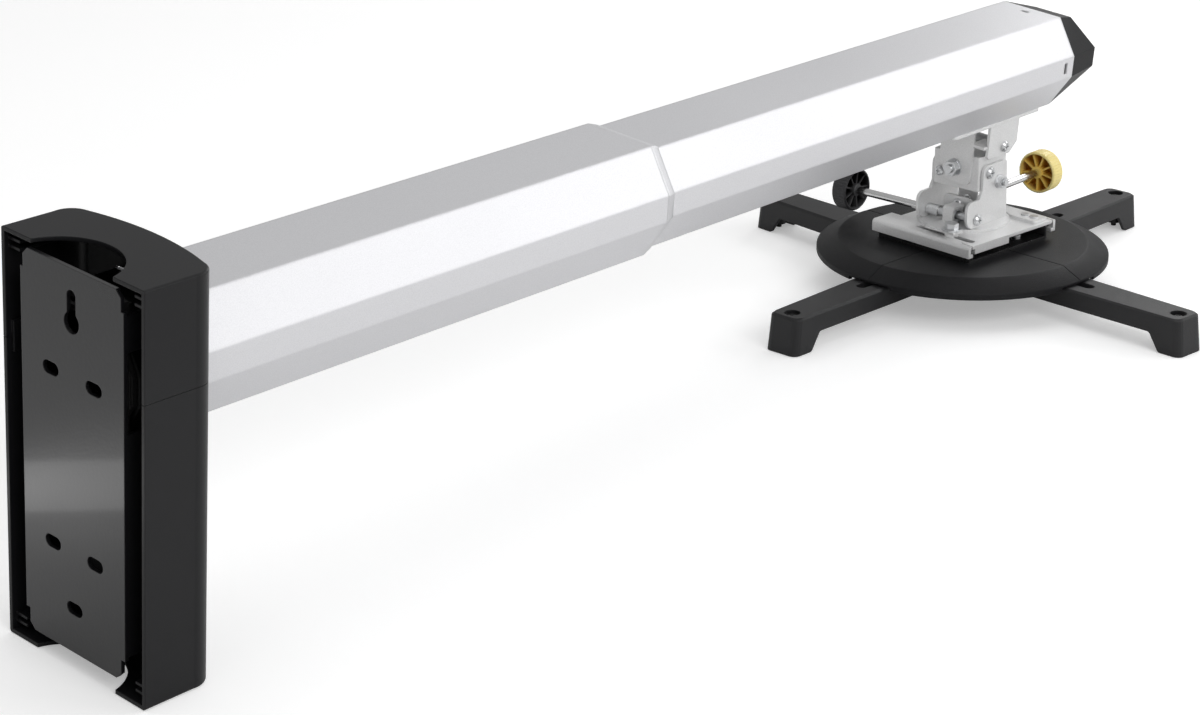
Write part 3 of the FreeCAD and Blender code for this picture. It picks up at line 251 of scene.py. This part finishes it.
def flakeCoat(name, look):
    material, wire, place = blankMaterial(name)
    flakes = speckle(wire, place, look["flake"])
    fine = noise(wire, place, look["fine"], detail=4.0, rough=0.65)
    cloud = noise(wire, place, look["cloud"])
    glint = (1.0 - flakes * look["narrow"]).clamped()
    tone = (glint * look["glint"] + fine * (1.0 - look["glint"])).clamped()
    base = tone.blendOf(colour(*look["dark"]), colour(*look["light"]))
    if "rootEnd" in look:
        # the tube's root, inside the cover, is painted near-black: painted shade standing for the shadow in
        # the gap between plate and cover
        base = (place.axes()[0] > look["rootEnd"]).blendOf(colour(look["rootPaintedShade"]), base)
    rough = look["rough"] + (fine - 0.5) * look["fineRough"] + (cloud - 0.5) * look["cloudRough"]
    constants = {"Metallic": look["metal"], "Specular IOR Level": 0.5}
    return finishMaterial(material, wire, constants, base, rough, bump(wire, fine, look))


coatLook = {"narrow": 1.6, "rough": 0.42, "fineRough": 0.15, "cloudRough": 0.08, "depth": 0.0002}

armSilver = flakeCoat("armSilver", {
    **coatLook, "flake": 2200.0, "fine": 1400.0, "cloud": 6.0, "glint": 0.35,
    # below x = rootEnd the tube's colour is painted shade, near-black
    "dark": (0.66, 0.66, 0.68), "light": (0.92, 0.92, 0.94), "rootEnd": 0.05, "rootPaintedShade": 0.004,
    "metal": 0.6, "bump": 0.12, "edge": 0.0022})

headSilver = flakeCoat("headSilver", {
    **coatLook, "flake": 1500.0, "fine": 1100.0, "cloud": 25.0, "glint": 0.3,
    "dark": (0.64, 0.64, 0.64), "light": (0.92, 0.92, 0.92), "metal": 0.5, "bump": 0.15, "edge": 0.0006})


# Bare zinc and turned steel, with fine lathe rings or rolling marks

def bareMetal(name, look):
    material, wire, place = blankMaterial(name)
    marks = noise(wire, place, look["marks"], detail=3.0, rough=0.6)
    stain = noise(wire, place, look["stain"])
    tone = (marks * 0.4 + stain * 0.6).clamped()
    base = tone.blendOf(colour(*look["dark"]), colour(*look["light"]))
    rough = look["rough"] + (marks - 0.5) * look["roughSpread"]
    return finishMaterial(material, wire, {"Metallic": 1.0}, base, rough, bump(wire, marks, look))


zinc = bareMetal("zinc", {
    "marks": 900.0, "stain": 120.0, "dark": (0.55, 0.56, 0.57), "light": (0.80, 0.81, 0.82),
    "rough": 0.3, "roughSpread": 0.15, "bump": 0.15, "depth": 0.0001, "edge": 0.00025})

rodBright = bareMetal("rodBright", {
    "marks": 600.0, "stain": 60.0, "dark": (0.66, 0.66, 0.66), "light": (0.86, 0.86, 0.86),
    "rough": 0.18, "roughSpread": 0.15, "bump": 0.08, "depth": 0.0001, "edge": 0.0002})


# Which finish each node has: fasteners that aren't named here are zinc

finishes = {
    coverBlack: ["cover_upper", "cover_lower"],
    plateGloss: ["wall_plate"],
    socketDark: ["arm_socket", "socket_nuts", "arm_bolts"],
    # rail_plate takes the black screw paint as painted shade, standing for the shadow under the plate's
    # front edge; the leg tip screws are really black
    screwBlackAndRailShade: ["rail_plate"] + ["leg_tip_screw_%d" % k for k in (1, 2, 3, 4)],
    capBlack: ["end_cap", "arm_lock_screw"],
    armSilver: ["outer_tube", "inner_tube", "end_collar"],
    guideWhite: ["mouth_glides", "rear_guide"],
    headSilver: ["hanger_bracket", "tilt_block", "yoke", "swivel_disc", "slide_plate", "latch_strip",
                 "swivel_clip"],
    rodBright: ["tilt_rod", "swivel_rod"],
    knobIvory: ["tilt_wheel"],
    knobBlack: ["swivel_wheel"],
    discBlack: ["disc"],
    legBlack: ["leg_%d" % k for k in (1, 2, 3, 4)],
}

finishOf = {node: material for material, nodes in finishes.items() for node in nodes}
for node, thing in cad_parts.items():
    material = finishOf.get(node, zinc)
    if not thing.material_slots:
        thing.data.materials.append(material)
    for materialSlot in thing.material_slots:
        materialSlot.material = material
print("finishes given to", len(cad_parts), "nodes")


# New pieces: rings of points joined into closed skins, in metres

headLook = {"x": 0.803, "roll": -4.75, "rollHeight": -0.015, "swivel": -4.9, "discTurn": 1.78}
sharpAngle = math.radians(28)


def turnedAbout(places, axis, degrees, centre):
    c, s = math.cos(math.radians(degrees)), math.sin(math.radians(degrees))
    turn = {"X": [[1, 0, 0], [0, c, s], [0, -s, c]], "Z": [[c, s, 0], [-s, c, 0], [0, 0, 1]]}[axis]
    return (places - np.array(centre)) @ np.array(turn) + np.array(centre)


def headRolled(places):
    return turnedAbout(places, "X", headLook["roll"], (0, 0, headLook["rollHeight"]))


def fullTurn(steps):
    return np.linspace(0, 2 * np.pi, steps, endpoint=False)


def smoothPiece(name, places, faces, material):
    mesh = bpy.data.meshes.new(name + "Mesh")
    mesh.from_pydata(places.tolist(), [], faces)
    mesh.polygons.foreach_set("use_smooth", np.ones(len(faces), dtype=bool))
    mesh.materials.append(material)
    piece = bpy.data.objects.new(name, mesh)
    bpy.context.scene.collection.objects.link(piece)
    return piece


def joined(rings):
    # side faces between neighbouring rings, and one face on each end
    rows, n = rings.shape[:2]
    i, j = (grid.ravel() for grid in np.meshgrid(np.arange(rows - 1), np.arange(n), indexing="ij"))
    k = (j + 1) % n
    sides = np.column_stack([i * n + j, i * n + k, (i + 1) * n + k, (i + 1) * n + j]).tolist()
    return sides + [list(range(n))[::-1], list(range((rows - 1) * n, rows * n))]


def skinPiece(name, skins, material, body, replaced=None):
    places, faces, start = [], [], 0
    for rings in skins:
        faces += [[start + v for v in face] for face in joined(rings)]
        places.append(rings.reshape(-1, 3))
        start += len(places[-1])
    piece = smoothPiece(name, np.concatenate(places), faces, material)
    piece.data.set_sharp_from_angle(angle=sharpAngle)
    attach(piece, body)
    if replaced:
        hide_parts(replaced)


# Screw threads on the swivel's rod and on two bolt ends of the head

swivelRodPlace = (0.7875, 0.0, -0.0495)

threadLook = {
    "steps": 28,
    "perPitch": 8,
    "fewestRows": 6,
    "crest": 0.00022,
    "threads": {
        "swivelThread": {"body": "swivel_knob", "axis": 1, "place": swivelRodPlace,
                         "span": (-0.0190, 0.0093), "radius": 0.0028, "pitch": 0.0013},
        "sleeveThread": {"body": "swivel_knob", "axis": 1, "place": swivelRodPlace,
                         "span": (0.0097, 0.0195), "radius": 0.0040, "pitch": 0.0016},
        "rollThread": {"body": "roll_head", "axis": 0, "place": (0.0, 0.0, -0.015),
                       "span": (0.7812, 0.7826), "radius": 0.0030, "pitch": 0.0007},
        "tiltThread": {"body": "roll_head", "axis": 1, "place": (0.8128, 0.0, -0.0263),
                       "span": (-0.0291, -0.0275), "radius": 0.0025, "pitch": 0.0007},
    },
}


def threadRings(look):
    low, high = look["span"]
    rows = max(threadLook["fewestRows"], int((high - low) / look["pitch"] * threadLook["perPitch"]))
    along, turn = np.meshgrid(np.linspace(low, high, rows), fullTurn(threadLook["steps"]), indexing="ij")
    # helix: the crest height is a triangle wave of (length / pitch - turn / 2 pi)
    phase = (along / look["pitch"] - turn / (2 * np.pi)) % 1.0
    radius = look["radius"] + threadLook["crest"] * (1.0 - np.abs(2.0 * phase - 1.0))
    radius[0] = radius[-1] = look["radius"] - threadLook["crest"]
    places = np.zeros(along.shape + (3,))
    others = [k for k in range(3) if k != look["axis"]]
    places[..., look["axis"]] = along
    places[..., others[0]] = radius * np.cos(turn)
    places[..., others[1]] = radius * np.sin(turn)
    return headRolled(places + np.array(look["place"]))


for threadName, look in threadLook["threads"].items():
    skinPiece(threadName, [threadRings(look)], zinc, look["body"])
print("threads made:", len(threadLook["threads"]))


# End cap: a long facetted nose whose top slopes down more than its sides draw in

capLook = {
    "start": 0.8645,
    "seat": 0.0001,
    "length": 0.030,
    "height": 0.0555,
    "soft": 0.0012,
    "softUp": 0.8,
    "mouth": [(0.0243, 0.0325), (0.0399, 0.0076), (0.0399, -0.0076), (0.0243, -0.0325)],
    "nose": [(0.0150, 0.0250), (0.0384, 0.0083), (0.0384, -0.0055), (0.0150, -0.0230)],
}


def capRing(x, half):
    # one side's corners, then the same mirrored on the other side
    points = half + [(-y, z) for y, z in reversed(half)]
    return [(x, y, capLook["height"] + z) for y, z in points]


def capRings():
    start, length, soft = capLook["start"], capLook["length"], capLook["soft"]
    shrunk = [(y - soft, z - math.copysign(soft * capLook["softUp"], z)) for y, z in capLook["nose"]]
    return np.array([capRing(start + capLook["seat"], capLook["mouth"]),
                     capRing(start + length - soft, capLook["nose"]),
                     capRing(start + length, shrunk)])


skinPiece("endCapNose", [capRings()], capBlack, "inner_arm", "end_cap")
print("end cap made")


# Clamping screw under the tube: a low fluted head

lockLook = {"x": 0.3877, "top": 0.0224, "neck": 0.0170, "low": 0.0115, "shank": 0.0030, "head": 0.0056,
            "edge": 0.0006, "flute": 0.0002, "flutes": 20, "steps": 120}


def lockRings():
    turn = fullTurn(lockLook["steps"])
    neck, low, edge = lockLook["neck"], lockLook["low"], lockLook["edge"]
    # fluted rim: radius + depth * cos(flutes * turn)
    rim = lockLook["head"] + lockLook["flute"] * np.cos(lockLook["flutes"] * turn)
    plain = np.ones_like(turn)
    shank = lockLook["shank"] * plain
    rows = [(shank, lockLook["top"]), (shank, neck), (rim - edge, neck), (rim, neck - edge),
            (rim, low + edge), (rim - edge, low)]
    return np.array([np.column_stack([lockLook["x"] + r * np.cos(turn), r * np.sin(turn), z * plain])
                     for r, z in rows])


skinPiece("lockScrewLow", [lockRings()], capBlack, "arm_lock", "arm_lock_screw")
print("clamping screw made")


# Disc: bevelled dish with four scribed lines, its bosses and ribs kept under the bevel

discLook = {
    "top": -0.0710, "flat": 0.0897, "radius": 0.1050, "bevelLow": -0.0782, "bottom": -0.0828,
    "inner": 0.0195, "wall": 0.0030, "crownRun": 0.0008, "crownDrop": 0.00006,
    "rimRun": 0.0006, "rimIn": 0.0001, "rimDrop": 0.0002, "rimLow": 0.0007,
    "footRise": 0.0006, "footIn": 0.0005, "footInner": 0.0004, "underRim": 0.5, "underRun": 0.001,
    "notchTop": -0.08045, "notchHalf": 10.1, "notchSide": 0.15, "turns": [2.5, 5.0, 7.5],
    "middleTurns": (14, 80, 4), "scribe": 0.0005, "scribeStart": 0.0200, "scribeHalf": 0.0003,
    "scribeSides": (1.0, 1.5), "clamp": 0.092, "boss": 0.0090, "bossSteps": 40, "bossUnder": 0.0012,
    "underTop": 0.002, "ribLow": -0.0798, "ribSet": 0.006, "ribHalf": 0.001, "ribEnd": 0.086,
    "hair": 1e-6,
}


def bevelSlope():
    d = discLook
    return (d["top"] - d["bevelLow"]) / (d["radius"] - d["flat"])


def discRows():
    # radius, height, whether a scribed line cuts it, whether the rim notch lifts it
    d = discLook
    slope = bevelSlope()
    inner = d["radius"] - d["wall"]
    under = d["top"] - d["wall"]
    crown = [
        (d["inner"], d["top"], 0, 0),
        (d["scribeStart"], d["top"], 1, 0),
        (d["flat"] - d["crownRun"], d["top"], 1, 0),
        (d["flat"], d["top"] - d["crownDrop"], 1, 0),
        (d["flat"] + d["crownRun"], d["top"] - d["crownRun"] * slope, 1, 0)]
    rim = [
        (d["radius"] - d["rimRun"], d["bevelLow"] + d["rimRun"] * slope, 1, 0),
        (d["radius"] - d["rimIn"], d["bevelLow"] - d["rimDrop"], 1, 0),
        (d["radius"], d["bevelLow"] - d["rimLow"], 0, 0),
        (d["radius"], d["bottom"] + d["footRise"], 0, 1),
        (d["radius"] - d["footIn"], d["bottom"], 0, 1)]
    inside = [
        (inner + d["footInner"], d["bottom"], 0, 1),
        (inner, d["bottom"] + d["footInner"], 0, 1),
        (inner, d["bevelLow"] - d["wall"] * d["underRim"], 0, 0),
        (d["flat"] - d["underRun"], under, 0, 0),
        (d["inner"], under, 0, 0)]
    return crown + rim + inside


def discRings():
    d = discLook
    edge = d["notchHalf"]
    rings = []
    for radius, height, scribed, notched in discRows():
        # the angles of one quarter, the same from both of its ends, then of all four
        near = [math.degrees(math.asin(d["scribeHalf"] * k / radius)) for k in d["scribeSides"]]
        turns = near + d["turns"] + [edge, edge + d["notchSide"]]
        middle = list(range(*d["middleTurns"]))
        quarter = np.array([0.0] + turns + middle + [90 - turn for turn in reversed(turns)])
        angle = (quarter + 90.0 * np.arange(4)[:, None]).ravel()
        off = np.abs((angle + 45.0) % 90.0 - 45.0)
        z = np.full(angle.shape, height)
        z[off <= near[0] + d["hair"]] -= scribed * d["scribe"]
        z[off <= edge + d["hair"]] += notched * (d["notchTop"] - d["bottom"])
        turn = np.radians(angle)
        rings.append(np.column_stack([radius * np.cos(turn), radius * np.sin(turn), z]))
    return np.array(rings)


def bossRings():
    # boss top held about a millimetre under the bevel
    d = discLook
    turn = fullTurn(d["bossSteps"])
    x, y = d["clamp"] + d["boss"] * np.cos(turn), d["boss"] * np.sin(turn)
    top = d["top"] - np.maximum(0, np.hypot(x, y) - d["flat"]) * bevelSlope() - d["bossUnder"]
    return np.array([np.column_stack([x, y, np.minimum(top, d["top"] - d["underTop"])]),
                     np.column_stack([x, y, np.full_like(x, d["notchTop"])])])


def ribRings(side):
    d = discLook
    y0, y1 = side * d["ribSet"] - d["ribHalf"], side * d["ribSet"] + d["ribHalf"]
    x0, x1 = d["scribeStart"], d["ribEnd"]
    corners = [(x0, y0), (x1, y0), (x1, y1), (x0, y1)]
    return np.array([[(x, y, z) for x, y in corners] for z in (d["top"] - d["underTop"], d["ribLow"])])


def discPlaced(rings, quarterTurn):
    placed = turnedAbout(rings, "Z", quarterTurn + headLook["discTurn"] + headLook["swivel"], (0, 0, 0))
    return headRolled(placed + np.array([headLook["x"], 0, 0]))


discSkins = [discPlaced(discRings(), 0)]
for quarterTurn in (0, 90, 180, 270):
    discSkins += [discPlaced(rings, quarterTurn) for rings in (bossRings(), ribRings(-1), ribRings(1))]
skinPiece("discDish", discSkins, discBlack, "disc_unit", "disc")
print("disc made")


# Stage: one pale floor under the feet and the cover, and soft lights

stageLook = {
    "floorSize": 9.0,
    "floorSteps": 240,
    "evenShare": 0.15,
    "coverFloor": -0.1226,
    "headPoint": (0.803, -0.0076, -0.1071),
    "headSlopeY": -0.0831,
    "rampStart": 0.15,
    "rampEnd": 0.50,
    "paper": 0.86,
    "lift": 0.34,
    "world": 0.40,
}

lampLook = {
    "keySoft": {"place": (-0.3, -2.4, 1.9), "aim": (0.5, 0, 0), "size": (2.0, 1.2), "power": 34.0},
    "topSoft": {"place": (0.6, 0.3, 2.4), "aim": (0.5, 0, 0), "size": (2.4, 2.0), "power": 14.0},
    "sideSoft": {"place": (2.14, -1.35, 1.03), "aim": (0.45, 0, 0.05), "size": (2.4, 1.0), "power": 13.0},
    "rimSoft": {"place": (2.45, 0.55, 0.90), "aim": (0.85, -0.05, -0.08), "size": (0.6, 0.4), "power": 5.0},
    "plateGlow": {"place": (-0.11, 0.14, -0.10), "aim": (0, 0, -0.03), "size": (0.10, 0.03), "power": 0.02},
}


def palePaper():
    # plain matt paper that glows a little for the camera alone
    material = bpy.data.materials.new("palePaper")
    wire = emptyTree(material)
    shader = wire.make("ShaderNodeBsdfDiffuse", {}, {"Color": colour(stageLook["paper"])})
    seen = wire.make("ShaderNodeLightPath")
    glow = wire.make("ShaderNodeEmission", {}, {"Color": colour(1.0), "Strength": seen * stageLook["lift"]})
    both = wire.make("ShaderNodeAddShader", {}, {0: shader, 1: glow})
    wire.make("ShaderNodeOutputMaterial", {}, {"Surface": both})
    return material


def makeFloor():
    steps = stageLook["floorSteps"]
    even = stageLook["evenShare"]
    px, py, pz = stageLook["headPoint"]
    # finer steps near the object: a cubed run from -1 to 1
    run = np.linspace(-1.0, 1.0, steps + 1)
    run = (even * run + (1 - even) * run ** 3) * stageLook["floorSize"] / 2
    x, y = (grid.ravel() for grid in np.meshgrid(run + px / 2, run, indexing="ij"))
    # level under the cover, then eased over to the plane of the four feet: 3 e^2 - 2 e^3
    ease = np.clip((x - stageLook["rampStart"]) / (stageLook["rampEnd"] - stageLook["rampStart"]), 0, 1)
    ease = ease * ease * (3 - 2 * ease)
    z = (1 - ease) * stageLook["coverFloor"] + ease * (pz + stageLook["headSlopeY"] * (y - py))
    a, b = (grid.ravel() for grid in np.meshgrid(np.arange(steps), np.arange(steps), indexing="ij"))
    corner = a * (steps + 1) + b
    faces = np.column_stack([corner, corner + steps + 1, corner + steps + 2, corner + 1])
    floor = smoothPiece("floor", np.column_stack([x, y, z]), faces.tolist(), palePaper())


def makeWorld():
    world = bpy.data.worlds.new("studio")
    bpy.context.scene.world = world
    wire = emptyTree(world)
    seen = wire.make("ShaderNodeLightPath")
    strength = stageLook["world"] + seen * (1.0 - stageLook["world"])
    sky = wire.make("ShaderNodeBackground", {}, {"Color": colour(1.0), "Strength": strength})
    wire.make("ShaderNodeOutputWorld", {}, {"Surface": sky})


def softLight(name, look):
    lamp = bpy.data.lights.new(name, "AREA")
    lamp.shape = "RECTANGLE"
    lamp.size, lamp.size_y = look["size"]
    lamp.energy = look["power"]
    thing = bpy.data.objects.new(name, lamp)
    bpy.context.scene.collection.objects.link(thing)
    thing.location = look["place"]
    ahead = Vector(look["aim"]) - Vector(look["place"])
    thing.rotation_euler = ahead.to_track_quat("-Z", "Y").to_euler()


makeFloor()
makeWorld()
for lampName, look in lampLook.items():
    softLight(lampName, look)
print("stage set")


# Camera, as the photograph was taken

cameraLook = {
    "place": (-0.8521, -1.0847, 0.6806),
    "yaw": 40.55,
    "down": 23.84,
    "roll": 3.91,
    "lens": 87.0,
    "sensor": 36.0,
}


def makeCamera():
    yaw, down, roll = (math.radians(cameraLook[k]) for k in ("yaw", "down", "roll"))
    ahead = Vector((math.cos(yaw) * math.cos(down), math.sin(yaw) * math.cos(down), -math.sin(down)))
    side = ahead.cross(Vector((0, 0, 1))).normalized()
    up = side.cross(ahead)
    right = side * math.cos(roll) + up * math.sin(roll)
    top = up * math.cos(roll) - side * math.sin(roll)
    lens = bpy.data.cameras.new("photoCamera")
    lens.sensor_fit = "HORIZONTAL"
    lens.sensor_width = cameraLook["sensor"]
    lens.lens = cameraLook["lens"]
    camera = bpy.data.objects.new("photoCamera", lens)
    bpy.context.scene.collection.objects.link(camera)
    turn = Matrix((right, top, -ahead)).transposed().to_4x4()
    camera.matrix_world = Matrix.Translation(cameraLook["place"]) @ turn
    bpy.context.scene.camera = camera


makeCamera()
bpy.context.scene.view_settings.view_transform = "Standard"
print("camera set")
